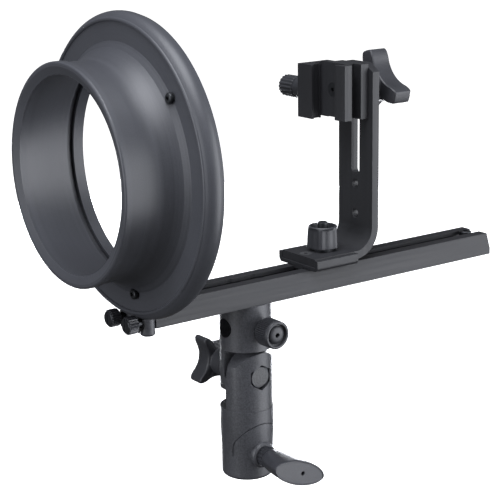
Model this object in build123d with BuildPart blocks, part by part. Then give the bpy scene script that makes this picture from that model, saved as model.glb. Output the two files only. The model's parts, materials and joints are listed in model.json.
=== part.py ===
"""Umbrella swivel bracket: a tilting stand adapter under a T-slot rail that carries
a ring for a light modifier at the front and a height-adjustable flash clamp at the back.

Frame: millimetres, +Z up, +X to the side of the two locking screws, -Y the way the
light shines. The origin is on the axis of the stand socket, at its mouth."""
from build123d import *
from math import cos, radians, sin
import os

os.makedirs("parts", exist_ok=True)

# ---- fits and clearances
shaft_gap = 0.08          # radial, a pin or screw in the bore it turns in
thread_gap = 0.05         # radial, a screw in its tapped hole
slide_gap = 0.2           # between flats that slide past each other
air_gap = 0.3             # between parts that must not rub
recess_gap = 0.15         # around a head or nut in its pocket
end_play = 0.05           # between a turning part and the face it bears on

# ---- stand adapter, lower half
spigot_r = 7.94           # 5/8 inch lighting spigot
spigot_gap = 0.11
socket_r = spigot_r + spigot_gap
socket_depth = 36
adapter_r = 14.7
sleeve_r = 15.25
taper_start = 17.5
taper_end = 29.4
sleeve_top = 41.3
mouth_round = 2.4
mouth_bevel = 0.4
arch_foot = 14
hex_upright = 30          # turns a hexagon point up
bevel_slope = 45
countersink = 90          # full angle of a flat-headed screw
tip_bevel = 0.8
joint_r = 14.9            # body of both halves around the tilt joint
tilt_z = 61
tongue_top_r = 14.3
tongue_foot = 6
lap_gap = 0.4             # half the space between the two halves
arch_r = 13.9             # the scored arch over the stand lock
arch_centre_z = 20
arch_width = 0.5
arch_depth = 0.45

# ---- stand lock
lock_z = 15
lock_screw_r = 4
lock_boss_r = 7.25
lock_boss_top = 16.8
lock_boss_bevel = 1.1
lock_boss_taper = 40
lock_tip_gap = 0.35
lever_neck_r = 5.6
lever_neck_end = 21
lever_teeth = 14
lever_tooth_r = 0.8
lever_root = (19, 12)     # width and thickness where the paddle starts
lever_waist = (23, 13)
lever_waist_x = 29
lever_end = (35, 13.6)
lever_end_x = 49
lever_turn = -17
lever_end_round = 1.2
lever_screw_cover = 12
lever_hole_r = 1.1
lever_hole_depth = 3
lever_hole_shift = 2.5

# ---- tilt bolt and its knob
bolt_r = 4
bolt_head_af = 12.7
bolt_head_height = 5.3
bolt_head_bevel = 0.9
bolt_head_taper = 30
bolt_seat_x = 8
washer_t = 1.4
washer_r = 7.4
friction_washer_r = 12.5
ear_boss_x = -15.1
ear_boss_r = 8.4
knob_hub_r = 8
knob_hub_length = 7.25
star_r = 18.5
star_t = 11.5
star_lobes = 4
star_first_lobe = 54
star_scallop_r = 15.8
star_scallop_centre = 25.3
star_lobe_round = 1.3
star_edge_round = 0.9
insert_wall = 2
insert_length = 12
bolt_end_cover = 4

# ---- stand adapter, upper half
roof_z = 76.5
ear_round_r = 14.5
umbrella_z = 89.5
umbrella_r = 5.5
umbrella_screw_r = 3
umbrella_tip_gap = 0.4
umbrella_collar_r = 5.5
umbrella_collar_x = 15.4
umbrella_knob_x = 18.5
umbrella_knob_r = 8
umbrella_knob_end = 30
umbrella_rim_wall = 1.5
umbrella_recess_depth = 2.2
umbrella_dome_r = 4.6
umbrella_socket_af = 4
umbrella_screw_cover = 5

# ---- rail
rail_bottom = 103.05
rail_height = 12.55
rail_crease = 3.75
rail_half = 13.86
rail_top_half = 10.86
rail_front = -68
rail_length = 246
slot_half = 4
slot_lip = 2.2
cavity_half = 6.4
cavity_depth = 9.4
rail_top = rail_bottom + rail_height
cavity_floor = rail_top - cavity_depth
cavity_roof = rail_top - slot_lip
rail_rear = rail_front + rail_length
rail_screw_r = 2.5
rail_screw_head_r = 4.5
rail_screw_length = 9
rail_screw_y = 8
hex_key_af = 3
small_key_af = 2.4
socket_share = 0.65       # how deep a key socket goes into its head
stop_screw_from_end = 8
stop_screw_r = 2.5
stop_head_r = 3.8
stop_head_height = 5
stop_head_proud = 0.9

# ---- ring and collar
ring_z = 188.45
ring_front = -78
ring_rear = -68.3
ring_bore_r = 59.6
ring_lip_r = 57.2         # the step behind the collar
ring_lip_front = -73
ring_rim_r = 80.24
ring_rim_y = -71
ring_face_r = 75.2        # where the flat face ends
ring_bead_r = 76.3
ring_bead_proud = 1.1
ring_dip_r = 77.5
ring_dip = 0.2
ring_shoulder_y = -76.4
ring_shoulder_r = 79.3
ring_rear_r = 79.2
ring_plate_t = 4
ring_wall = 2.6
ring_inner_rear = -67
collar_front = -110.9
collar_lip_r = 57.85
collar_lip_width = 4
collar_lip_round = 1.2
collar_crest_r = 55.4
collar_mouth_bevel = 1.8
collar_tube_r = 56.9
collar_mouth_r = 51.2
collar_throat_r = 57.4
collar_flare_y = -98
collar_flange_r = 65.4
collar_flange_front_r = 62.5
collar_flange_t = 2.5
collar_spigot_rear = -76.9
collar_flare_mid = (-87, 58.6)
collar_screw_count = 3
collar_screw_pitch_r = 65.8
collar_screw_first = 40
collar_screw_r = 1.75
collar_head_r = 2.85
collar_head_height = 1.9
collar_head_round = 1.1
collar_socket_af = 2
collar_head_seat = 1.1
cap_nut_af = 5.5
cap_nut_hex = 3.4
cap_nut_length = 11
cap_nut_r = 2.4

# ---- rail end block, thumb screws and ring bracket
block_t = 6
block_bottom = 99
barrel_x = 9.9
barrel_r = 4.1
barrel_round = 1.6
thumb_x = 8.8
thumb_z = 106.2
thumb_r = 2
thumb_depth = 12
thumb_neck_r = 2.3
thumb_neck = 3.6
thumb_head_r = 4.2
thumb_head_length = 6.6
thumb_head_bevel = 0.5
thumb_slot_width = 1.1
thumb_slot_depth = 1.4
bracket_half = 7.6
bracket_t = 3
bracket_foot_rear = -46
bracket_leg_top = 125.5
bracket_round = 2
bracket_screw_r = 1.5
bracket_screw_x = 3.9
bracket_screw_z = 121.8
bracket_screw_length = 6.4
bracket_head_r = 2.7
bracket_head_height = 1.8
bracket_head_round = 1
bracket_bolt_r = 2.5
bracket_bolt_y = -56
bracket_bolt_head_r = 4.6
bracket_bolt_head = 2.6
bracket_bolt_round = 1.4
nut_length = 14
nut_t = 4

# ---- carriage and L bracket
carriage_front = 37.7
carriage_length = 30.3
carriage_half = 17.8
carriage_floor = 2.2
carriage_top = 122.2
carriage_round = 2.6
carriage_wall_gap = 0.1
key_depth = 1.4
plate_half = 15
plate_t = 4.8
foot_front = 38.2
upright_y = 80.4
bend_r = 12
plate_top = 229.6
plate_corner = (7, 4.6)    # across and down
height_slot_r = 3.55
height_slot_low = 164
height_slot_high = 221.5
plate_hole_r = 2.7
plate_hole_z = (141, 158.5)
foot_screw_y = 43.5
foot_screw_r = 2
foot_screw_head_r = 3.65
foot_screw_length = 6.6
carriage_bolt_y = 56
carriage_bolt_r = 3
carriage_bolt_top = 139.8
foot_washer_r = 6.5
foot_washer_t = 1.6
foot_knob_r = 9.4
foot_knob_top = 137.5
foot_knob_flutes = 6
foot_flute_r = 3
foot_flute_centre = 11.5
foot_knob_recess_r = 6.8
foot_knob_recess = 3.5
foot_knob_round = 0.6
foot_insert_r = 4.4

# ---- flash clamp
shoe_bottom = 198.3
shoe_top = 229.5
shoe_front = 62.2
shoe_floor = 68.85
shoe_split = 74.8
shoe_left = -11.6
shoe_right = 11.3
lip_inner = 3.2
lip_tip_t = 1.6
lip_root_t = 3.2
lip_undercut = 2.2
lip_face_x = 5.8
lip_slope = 0.8
side_groove_front = 68.1
side_groove_root = 70.7
side_groove_turn = 7.4
side_groove_x = 4.8
tongue_front = 70
tongue_lap = 0.3
jaw_drop = 2
jaw_left = -30.4
jaw_right = -18.4
jaw_lip_inner = -17.4
jaw_rear = 79.9
prong_height = 6.5
prong_offset = 10.4
prong_t = 2.2
prong_end = -6
prong_travel = 6.4
shoe_screw_x = -6.7
shoe_screw_r = 2
shoe_screw_head_r = 4.1
shoe_screw_length = 10.4
jaw_stud_y = 71.9
jaw_stud_z = 211.4
jaw_stud_r = 1.5
jaw_stud_end = -11.3
jaw_stud_tip = -50
jaw_neck_r = 5.9
jaw_neck_end = -42
jaw_head_r = 6.45
jaw_head_end = -54
jaw_head_flutes = 16
jaw_flute_r = 0.6
height_bolt_z = 214.8
height_bolt_r = 2.5
height_bolt_af = 8
height_bolt_head = 3.5
key_above = 3
key_below = 6
key_t = 4
height_bolt_cover = 4
height_washer_t = 1.2
height_washer_r = 7
wing_hub_r = 7.6
wing_hub_end = 92.5
wing_end = 105
wing_r = 20.5
wing_scallop_r = 23.8
wing_scallop_centre = 32.6
wing_first = 105
wing_count = 3
wing_tip_round = 1.6
wing_edge_round = 1.2

shoe_z = (shoe_bottom + shoe_top) / 2
shoe_height = shoe_top - shoe_bottom
foot_bottom = rail_top + air_gap + carriage_floor
foot_top = foot_bottom + plate_t
upright_rear = upright_y + plate_t
block_front = rail_front - block_t
collar_flange_front = ring_front - collar_flange_t
thumb_head_start = block_front - thumb_neck
tilt_washer_x = ear_boss_x - end_play
star_face = tilt_washer_x - washer_t - end_play - knob_hub_length
pieces = {}


def facing_right(x, y=0, z=0, turn=0):
    """A plane that looks along +X, with its own x along +Y before the turn."""
    across = (0, cos(radians(turn)), sin(radians(turn)))
    return Plane(origin=(x, y, z), x_dir=across, z_dir=(1, 0, 0))


def facing_left(x, y=0, z=0):
    return Plane(origin=(x, y, z), x_dir=(0, -1, 0), z_dir=(-1, 0, 0))


def facing_front(y, x=0, z=0):
    return Plane(origin=(x, y, z), x_dir=(1, 0, 0), z_dir=(0, -1, 0))


def facing_back(y, x=0, z=0):
    return Plane(origin=(x, y, z), x_dir=(-1, 0, 0), z_dir=(0, 1, 0))


def facing_up(z, x=0, y=0):
    return Plane(origin=(x, y, z), x_dir=(1, 0, 0), z_dir=(0, 0, 1))


def headed_screw(seat, shank_r, length, head_r, head_height, head_round, socket_af):
    """A socket screw whose head stands on the seat plane and whose shank goes behind it."""
    with BuildPart() as screw:
        with BuildSketch(seat):
            Circle(head_r)
        extrude(amount=head_height)
        fillet(screw.edges().sort_by(Axis(seat.origin, seat.z_dir))[-1], head_round)
        with BuildSketch(seat.offset(head_height)):
            RegularPolygon(socket_af / 2, 6, major_radius=False)
        extrude(amount=-head_height * socket_share, mode=Mode.SUBTRACT)
        with BuildSketch(seat):
            Circle(shank_r)
        extrude(amount=-length)
    return screw.part


def countersunk_screw(seat, shank_r, length, head_r, socket_af):
    """A flat-headed screw, flush with the seat plane."""
    head_height = head_r - shank_r
    with BuildPart() as screw:
        with BuildSketch(seat):
            Circle(head_r)
        extrude(amount=-head_height, taper=countersink / 2)
        with BuildSketch(seat):
            Circle(shank_r)
        extrude(amount=-length)
        with BuildSketch(seat):
            RegularPolygon(socket_af / 2, 6, major_radius=False)
        extrude(amount=-head_height * socket_share, mode=Mode.SUBTRACT)
    return screw.part


# ==== stand adapter, lower half
with BuildPart() as arch_cutter:
    with BuildSketch(facing_right(0, 0, arch_centre_z)):
        Circle(arch_r)
        Rectangle(arch_r * 2, arch_centre_z - arch_foot, align=(Align.CENTER, Align.MAX))
        Circle(arch_r - arch_width, mode=Mode.SUBTRACT)
        Rectangle(
            (arch_r - arch_width) * 2,
            arch_centre_z,
            align=(Align.CENTER, Align.MAX),
            mode=Mode.SUBTRACT,
        )
    extrude(amount=sleeve_r * 2)
    Cylinder(
        adapter_r - arch_depth,
        sleeve_top,
        align=(Align.CENTER, Align.CENTER, Align.MIN),
        mode=Mode.SUBTRACT,
    )

with BuildPart() as lower_casting:
    with BuildSketch(Plane.XZ):
        with BuildLine():
            Polyline(
                (0, 0),
                (adapter_r, 0),
                (adapter_r, taper_start),
                (sleeve_r, taper_end),
                (sleeve_r, sleeve_top),
                (0, sleeve_top),
                close=True,
            )
        make_face()
    revolve(axis=Axis.Z)
    fillet(lower_casting.edges().group_by(Axis.Z)[0], mouth_round)
    with BuildSketch(facing_up(sleeve_top - tongue_foot)):
        Circle(joint_r)
        Rectangle(joint_r, joint_r * 2, align=(Align.MAX, Align.CENTER), mode=Mode.SUBTRACT)
        Rectangle(lap_gap, joint_r * 2, align=(Align.MIN, Align.CENTER), mode=Mode.SUBTRACT)
    extrude(amount=tilt_z + tongue_top_r - sleeve_top + tongue_foot)
    with BuildSketch(facing_right(0, 0, tilt_z)):
        Rectangle(joint_r * 2, joint_r * 2, align=(Align.CENTER, Align.MIN))
        Circle(tongue_top_r, mode=Mode.SUBTRACT)
    extrude(amount=joint_r, mode=Mode.SUBTRACT)
    add(arch_cutter.part, mode=Mode.SUBTRACT)
    with BuildSketch(facing_right(0, 0, lock_z)):
        Circle(lock_boss_r)
    extrude(amount=lock_boss_top - lock_boss_bevel)
    with BuildSketch(facing_right(lock_boss_top - lock_boss_bevel, 0, lock_z)):
        Circle(lock_boss_r)
    extrude(amount=lock_boss_bevel, taper=lock_boss_taper)
    with BuildSketch():
        Circle(socket_r)
    extrude(amount=socket_depth, mode=Mode.SUBTRACT)
    with BuildSketch():
        Circle(socket_r + mouth_bevel)
    extrude(amount=mouth_bevel, taper=bevel_slope, mode=Mode.SUBTRACT)
    with BuildSketch(facing_right(0, 0, lock_z)):
        Circle(lock_screw_r + thread_gap)
    extrude(amount=lock_boss_top, mode=Mode.SUBTRACT)
    with BuildSketch(facing_right(0, 0, tilt_z)):
        Circle(bolt_r + shaft_gap)
    extrude(amount=joint_r, mode=Mode.SUBTRACT)
    with BuildSketch(facing_right(bolt_seat_x, 0, tilt_z)):
        RegularPolygon(bolt_head_af / 2 + recess_gap, 6, major_radius=False, rotation=hex_upright)
    extrude(amount=joint_r, mode=Mode.SUBTRACT)
pieces["lower_casting"] = lower_casting.part

with BuildPart() as stand_lock_screw:
    with BuildSketch(facing_right(socket_r + lock_tip_gap, 0, lock_z)):
        Circle(lock_screw_r)
    extrude(amount=lever_end_x - lever_screw_cover - socket_r - lock_tip_gap)
    chamfer(stand_lock_screw.edges().group_by(Axis.X)[0], tip_bevel)
pieces["stand_lock_screw"] = stand_lock_screw.part

lever_start_x = lock_boss_top + air_gap
with BuildPart() as stand_lock_lever:
    with BuildSketch(facing_right(lever_start_x, 0, lock_z)):
        Circle(lever_neck_r)
        with PolarLocations(lever_neck_r, lever_teeth):
            Circle(lever_tooth_r)
    extrude(amount=lever_neck_end - lever_start_x)
    with BuildSketch(facing_right(lever_neck_end, 0, lock_z, lever_turn)):
        Ellipse(lever_root[0] / 2, lever_root[1] / 2)
    with BuildSketch(facing_right(lever_waist_x, 0, lock_z, lever_turn)):
        Ellipse(lever_waist[0] / 2, lever_waist[1] / 2)
    with BuildSketch(facing_right(lever_end_x, 0, lock_z, lever_turn)):
        Ellipse(lever_end[0] / 2, lever_end[1] / 2)
    loft()
    fillet(stand_lock_lever.edges().group_by(Axis.X)[-1], lever_end_round)
    with BuildSketch(facing_right(lever_start_x, 0, lock_z)):
        Circle(lock_screw_r + thread_gap)
    extrude(amount=lever_end_x - lever_screw_cover - lever_start_x, mode=Mode.SUBTRACT)
    with BuildSketch(facing_right(lever_end_x, 0, lock_z, lever_turn)):
        with Locations((lever_hole_shift, 0)):
            Circle(lever_hole_r)
    extrude(amount=-lever_hole_depth, mode=Mode.SUBTRACT)
pieces["stand_lock_lever"] = stand_lock_lever.part

# ==== tilt joint
with BuildPart() as friction_washer:
    with BuildSketch(facing_right(end_play - lap_gap, 0, tilt_z)):
        Circle(friction_washer_r)
        Circle(bolt_r + shaft_gap, mode=Mode.SUBTRACT)
    extrude(amount=lap_gap * 2 - end_play)
pieces["friction_washer"] = friction_washer.part

tilt_bolt_tip = star_face - star_t + bolt_end_cover
with BuildPart() as tilt_bolt:
    with BuildSketch(facing_right(tilt_bolt_tip, 0, tilt_z)):
        Circle(bolt_r)
    extrude(amount=bolt_seat_x - tilt_bolt_tip)
    with BuildSketch(facing_right(bolt_seat_x, 0, tilt_z)):
        RegularPolygon(bolt_head_af / 2, 6, major_radius=False, rotation=hex_upright)
    extrude(amount=bolt_head_height - bolt_head_bevel)
    with BuildSketch(facing_right(bolt_seat_x + bolt_head_height - bolt_head_bevel, 0, tilt_z)):
        Circle(bolt_head_af / 2)
    extrude(amount=bolt_head_bevel, taper=bolt_head_taper)
pieces["tilt_bolt"] = tilt_bolt.part

with BuildPart() as tilt_washer:
    with BuildSketch(facing_left(tilt_washer_x, 0, tilt_z)):
        Circle(washer_r)
        Circle(bolt_r + shaft_gap, mode=Mode.SUBTRACT)
    extrude(amount=washer_t)
pieces["tilt_washer"] = tilt_washer.part

tilt_insert_r = bolt_r + thread_gap + insert_wall
with BuildPart() as tilt_knob:
    with BuildSketch(facing_left(star_face, 0, tilt_z)) as star:
        Circle(star_r)
        with PolarLocations(star_scallop_centre, star_lobes, star_first_lobe + 180 / star_lobes):
            Circle(star_scallop_r, mode=Mode.SUBTRACT)
        fillet(star.vertices(), star_lobe_round)
    extrude(amount=star_t)
    fillet(tilt_knob.edges().group_by(Axis.X)[0], star_edge_round)
    fillet(tilt_knob.edges().group_by(Axis.X)[-1], star_edge_round)
    with BuildSketch(facing_left(star_face, 0, tilt_z)):
        Circle(knob_hub_r)
    extrude(amount=-knob_hub_length)
    with BuildSketch(facing_left(star_face + knob_hub_length, 0, tilt_z)):
        Circle(tilt_insert_r)
    extrude(amount=insert_length, mode=Mode.SUBTRACT)
    with BuildSketch(facing_left(star_face + knob_hub_length, 0, tilt_z)):
        Circle(bolt_r + recess_gap)
    extrude(amount=star_face + knob_hub_length - tilt_bolt_tip + air_gap, mode=Mode.SUBTRACT)
pieces["tilt_knob"] = tilt_knob.part

with BuildPart() as tilt_knob_insert:
    with BuildSketch(facing_left(star_face + knob_hub_length, 0, tilt_z)):
        Circle(tilt_insert_r)
        Circle(bolt_r + shaft_gap, mode=Mode.SUBTRACT)
    extrude(amount=insert_length)
pieces["tilt_knob_insert"] = tilt_knob_insert.part

# ==== stand adapter, upper half
with BuildPart() as upper_casting:
    with BuildSketch(facing_up(roof_z)):
        Circle(joint_r)
    extrude(amount=rail_bottom - roof_z)
    with BuildSketch(facing_up(tilt_z - joint_r)):
        Circle(joint_r)
        Rectangle(joint_r, joint_r * 2, align=(Align.MIN, Align.CENTER), mode=Mode.SUBTRACT)
        Rectangle(lap_gap, joint_r * 2, align=(Align.MAX, Align.CENTER), mode=Mode.SUBTRACT)
    extrude(amount=roof_z - tilt_z + joint_r)
    with BuildSketch(facing_left(0, 0, tilt_z)):
        Rectangle(joint_r * 2, joint_r * 2, align=(Align.CENTER, Align.MAX))
        Circle(ear_round_r, mode=Mode.SUBTRACT)
    extrude(amount=joint_r, mode=Mode.SUBTRACT)
    with BuildSketch(facing_left(ear_boss_x, 0, tilt_z)):
        Circle(ear_boss_r)
    extrude(amount=-joint_r / 2)
    with BuildSketch(facing_left(0, 0, tilt_z)):
        Circle(bolt_r + shaft_gap)
    extrude(amount=-ear_boss_x, mode=Mode.SUBTRACT)
    with BuildSketch(facing_front(0, 0, umbrella_z)):
        Circle(umbrella_r)
    extrude(amount=joint_r, both=True, mode=Mode.SUBTRACT)
    with BuildSketch(facing_right(0, 0, umbrella_z)):
        Circle(umbrella_screw_r + thread_gap)
    extrude(amount=joint_r, mode=Mode.SUBTRACT)
    for side in (-1, 1):
        with BuildSketch(facing_up(rail_bottom, 0, side * rail_screw_y)):
            Circle(rail_screw_r + thread_gap)
        extrude(amount=cavity_floor - rail_bottom - rail_screw_length - air_gap, mode=Mode.SUBTRACT)
pieces["upper_casting"] = upper_casting.part

umbrella_tip_x = umbrella_r + umbrella_tip_gap
with BuildPart() as umbrella_lock_screw:
    with BuildSketch(facing_right(umbrella_tip_x, 0, umbrella_z)):
        Circle(umbrella_screw_r)
    extrude(amount=umbrella_knob_end - umbrella_screw_cover - umbrella_tip_x)
    chamfer(umbrella_lock_screw.edges().group_by(Axis.X)[0], tip_bevel)
pieces["umbrella_lock_screw"] = umbrella_lock_screw.part

with BuildPart() as umbrella_lock_collar:
    with BuildSketch(facing_right(umbrella_collar_x, 0, umbrella_z)):
        Circle(umbrella_collar_r)
        Circle(umbrella_screw_r + shaft_gap, mode=Mode.SUBTRACT)
    extrude(amount=umbrella_knob_x - umbrella_collar_x)
pieces["umbrella_lock_collar"] = umbrella_lock_collar.part

with BuildPart() as umbrella_lock_knob:
    with BuildSketch(facing_right(umbrella_knob_x, 0, umbrella_z)):
        Circle(umbrella_knob_r)
    extrude(amount=umbrella_knob_end - umbrella_knob_x)
    chamfer(umbrella_lock_knob.edges().group_by(Axis.X)[0], tip_bevel)
    chamfer(umbrella_lock_knob.edges().group_by(Axis.X)[-1], tip_bevel)
    with BuildSketch(facing_right(umbrella_knob_end, 0, umbrella_z)):
        Circle(umbrella_knob_r - umbrella_rim_wall)
        Circle(umbrella_dome_r, mode=Mode.SUBTRACT)
    extrude(amount=-umbrella_recess_depth, mode=Mode.SUBTRACT)
    with BuildSketch(facing_right(umbrella_knob_end, 0, umbrella_z)):
        RegularPolygon(umbrella_socket_af / 2, 6, major_radius=False)
    extrude(amount=-umbrella_screw_cover, mode=Mode.SUBTRACT)
    with BuildSketch(facing_right(umbrella_knob_x, 0, umbrella_z)):
        Circle(umbrella_screw_r)
    extrude(amount=umbrella_knob_end - umbrella_screw_cover - umbrella_knob_x, mode=Mode.SUBTRACT)
pieces["umbrella_lock_knob"] = umbrella_lock_knob.part

# ==== rail
with BuildPart() as rail:
    with BuildSketch(facing_front(rail_rear)):
        with BuildLine():
            Polyline(
                (-rail_half, rail_bottom),
                (-rail_half, rail_bottom + rail_crease),
                (-rail_top_half, rail_top),
                (rail_top_half, rail_top),
                (rail_half, rail_bottom + rail_crease),
                (rail_half, rail_bottom),
                close=True,
            )
        make_face()
        with Locations((0, rail_top)):
            Rectangle(slot_half * 2, slot_lip, align=(Align.CENTER, Align.MAX), mode=Mode.SUBTRACT)
        with Locations((0, cavity_floor)):
            Rectangle(
                cavity_half * 2,
                cavity_roof - cavity_floor,
                align=(Align.CENTER, Align.MIN),
                mode=Mode.SUBTRACT,
            )
    extrude(amount=rail_length)
    for side in (-1, 1):
        with Locations(facing_up(cavity_floor, 0, side * rail_screw_y)):
            CounterSinkHole(
                rail_screw_r + thread_gap,
                rail_screw_head_r + thread_gap,
                rail_height,
                countersink,
            )
        with BuildSketch(facing_back(rail_front, side * thumb_x, thumb_z)):
            Circle(thumb_r + thread_gap)
        extrude(amount=thumb_depth - block_t + air_gap, mode=Mode.SUBTRACT)
    with BuildSketch(facing_up(rail_bottom, 0, rail_rear - stop_screw_from_end)):
        Circle(stop_screw_r + thread_gap)
    extrude(amount=cavity_floor - rail_bottom, mode=Mode.SUBTRACT)
pieces["rail"] = rail.part

with BuildPart() as rail_fixing_screws:
    for side in (-1, 1):
        add(
            countersunk_screw(
                facing_up(cavity_floor, 0, side * rail_screw_y),
                rail_screw_r,
                rail_screw_length,
                rail_screw_head_r,
                hex_key_af,
            )
        )
pieces["rail_fixing_screws"] = rail_fixing_screws.part

stop_head_seat = rail_top + stop_head_proud - stop_head_height
pieces["rail_stop_screw"] = headed_screw(
    facing_up(stop_head_seat, 0, rail_rear - stop_screw_from_end),
    stop_screw_r,
    stop_head_seat - rail_bottom - air_gap,
    stop_head_r,
    stop_head_height,
    tip_bevel,
    hex_key_af,
)

# ==== ring and collar
ring_axis = Axis((0, 0, ring_z), (0, 1, 0))
ring_section = Plane(origin=(0, 0, ring_z), x_dir=(0, 1, 0), z_dir=(1, 0, 0))
plate_rear = ring_front + ring_plate_t
collar_screw_angles = [
    radians(collar_screw_first + turn * 360 / collar_screw_count)
    for turn in range(collar_screw_count)
]
collar_screw_spots = [
    (collar_screw_pitch_r * cos(angle), collar_screw_pitch_r * sin(angle))
    for angle in collar_screw_angles
]
collar_nut_spots = [(-across, up) for across, up in collar_screw_spots]
with BuildPart() as outer_ring:
    with BuildSketch(ring_section):
        with BuildLine():
            Polyline(
                (ring_rim_y, ring_rim_r - ring_wall),
                (plate_rear, ring_dip_r - ring_wall),
                (plate_rear, ring_bore_r + ring_wall),
                (ring_lip_front + ring_wall / 2, ring_bore_r + ring_wall),
                (ring_lip_front + ring_wall, ring_lip_r + ring_wall),
                (ring_inner_rear, ring_lip_r + ring_wall),
                (ring_inner_rear, ring_lip_r),
                (ring_lip_front, ring_lip_r),
                (ring_lip_front, ring_bore_r),
                (ring_front, ring_bore_r),
                (ring_front, ring_face_r),
            )
            ThreePointArc(
                (ring_front, ring_face_r),
                (ring_front - ring_bead_proud, ring_bead_r),
                (ring_front - ring_dip, ring_dip_r),
            )
            ThreePointArc(
                (ring_front - ring_dip, ring_dip_r),
                (ring_shoulder_y, ring_shoulder_r),
                (ring_rim_y, ring_rim_r),
            )
            Polyline(
                (ring_rim_y, ring_rim_r),
                (ring_rear, ring_rear_r),
                (ring_rear, ring_rear_r - ring_wall),
                (ring_rim_y, ring_rim_r - ring_wall),
            )
        make_face()
    revolve(axis=ring_axis)
    with BuildSketch(facing_front(plate_rear, 0, ring_z)):
        with Locations(*collar_screw_spots):
            Circle(collar_screw_r + recess_gap)
    extrude(amount=ring_plate_t, mode=Mode.SUBTRACT)
    with BuildSketch(facing_front(plate_rear, 0, bracket_screw_z)):
        with GridLocations(bracket_screw_x * 2, 1, 2, 1):
            Circle(bracket_screw_r + thread_gap)
    extrude(amount=bracket_screw_length - bracket_t + slide_gap, mode=Mode.SUBTRACT)
pieces["outer_ring"] = outer_ring.part

collar_head_y = ring_front - collar_head_seat
with BuildPart() as collar:
    with BuildSketch(ring_section):
        with BuildLine():
            Polyline(
                (collar_flare_y, collar_tube_r),
                (collar_front + collar_lip_width, collar_tube_r),
                (collar_front + collar_lip_width, collar_lip_r),
                (collar_front + collar_lip_round, collar_lip_r),
            )
            RadiusArc(
                (collar_front + collar_lip_round, collar_lip_r),
                (collar_front, collar_lip_r - collar_lip_round),
                -collar_lip_round,
            )
            Polyline(
                (collar_front, collar_lip_r - collar_lip_round),
                (collar_front, collar_crest_r),
                (collar_front + collar_mouth_bevel, collar_mouth_r),
                (collar_spigot_rear, collar_throat_r),
                (collar_spigot_rear, ring_bore_r - slide_gap),
                (ring_front, ring_bore_r - slide_gap),
                (ring_front, collar_flange_r),
                (collar_flange_front, collar_flange_front_r),
            )
            ThreePointArc(
                (collar_flange_front, collar_flange_front_r),
                collar_flare_mid,
                (collar_flare_y, collar_tube_r),
            )
        make_face()
    revolve(axis=ring_axis)
    with BuildSketch(facing_front(ring_front, 0, ring_z)):
        with Locations(*collar_screw_spots):
            Circle(collar_screw_r + recess_gap)
    extrude(amount=collar_flange_t, mode=Mode.SUBTRACT)
    with BuildSketch(facing_front(collar_head_y, 0, ring_z)):
        with Locations(*collar_screw_spots):
            Circle(collar_head_r + air_gap)
    extrude(amount=collar_flange_t, mode=Mode.SUBTRACT)
pieces["collar"] = collar.part

nut_reach = cap_nut_length / 2
with BuildPart() as collar_screws:
    for across, up in collar_screw_spots:
        add(
            headed_screw(
                facing_front(collar_head_y, across, ring_z + up),
                collar_screw_r,
                plate_rear - collar_head_y + nut_reach,
                collar_head_r,
                collar_head_height,
                collar_head_round,
                collar_socket_af,
            )
        )
pieces["collar_screws"] = collar_screws.part

with BuildPart() as collar_nuts:
    with BuildSketch(facing_back(plate_rear, 0, ring_z)):
        with Locations(*collar_nut_spots):
            RegularPolygon(cap_nut_af / 2, 6, major_radius=False)
    extrude(amount=cap_nut_hex)
    with BuildSketch(facing_back(plate_rear, 0, ring_z)):
        with Locations(*collar_nut_spots):
            Circle(cap_nut_r)
    extrude(amount=cap_nut_length)
    fillet(collar_nuts.edges().group_by(Axis.Y)[-1], cap_nut_r - collar_screw_r)
    with BuildSketch(facing_back(plate_rear, 0, ring_z)):
        with Locations(*collar_nut_spots):
            Circle(collar_screw_r + thread_gap)
    extrude(amount=nut_reach + air_gap, mode=Mode.SUBTRACT)
pieces["collar_nuts"] = collar_nuts.part

# ==== rail end block and its thumb screws
with BuildPart() as rail_end_block:
    with BuildSketch(facing_up(block_bottom)):
        with Locations((0, rail_front)):
            Rectangle(barrel_x * 2, block_t, align=(Align.CENTER, Align.MAX))
        with Locations((-barrel_x, rail_front - block_t / 2), (barrel_x, rail_front - block_t / 2)):
            Circle(barrel_r)
        with Locations((0, rail_front)):
            Rectangle(rail_half * 3, barrel_r, align=(Align.CENTER, Align.MIN), mode=Mode.SUBTRACT)
    extrude(amount=rail_top - block_bottom)
    fillet(rail_end_block.edges().group_by(Axis.Z)[0], barrel_round)
    with BuildSketch(facing_front(rail_front, 0, ring_z)):
        Circle(ring_rim_r + air_gap)
    extrude(amount=barrel_r * 2, mode=Mode.SUBTRACT)
    with BuildSketch(facing_front(rail_front, 0, thumb_z)):
        with GridLocations(thumb_x * 2, 1, 2, 1):
            Circle(thumb_r + shaft_gap)
    extrude(amount=barrel_r * 2, mode=Mode.SUBTRACT)
    with BuildSketch(facing_front(block_front, 0, thumb_z)):
        with GridLocations(thumb_x * 2, 1, 2, 1):
            Circle(thumb_neck_r + air_gap)
    extrude(amount=barrel_r, mode=Mode.SUBTRACT)
pieces["rail_end_block"] = rail_end_block.part

for side, side_name in ((-1, "left"), (1, "right")):
    head_plane = facing_front(thumb_head_start, side * thumb_x, thumb_z)
    head_front = head_plane.offset(thumb_head_length)
    with BuildPart() as thumb_screw:
        with BuildSketch(head_plane):
            Circle(thumb_head_r)
        extrude(amount=thumb_head_length)
        chamfer(thumb_screw.edges(), thumb_head_bevel)
        with BuildSketch(head_front):
            Rectangle(thumb_slot_width, thumb_head_r * 2)
        extrude(amount=-thumb_slot_depth, mode=Mode.SUBTRACT)
        with BuildSketch(head_plane):
            Circle(thumb_neck_r)
        extrude(amount=end_play - thumb_neck)
        with BuildSketch(head_plane):
            Circle(thumb_r)
        extrude(amount=-thumb_neck - thumb_depth)
    pieces[f"ring_thumb_screw_{side_name}"] = thumb_screw.part

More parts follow.
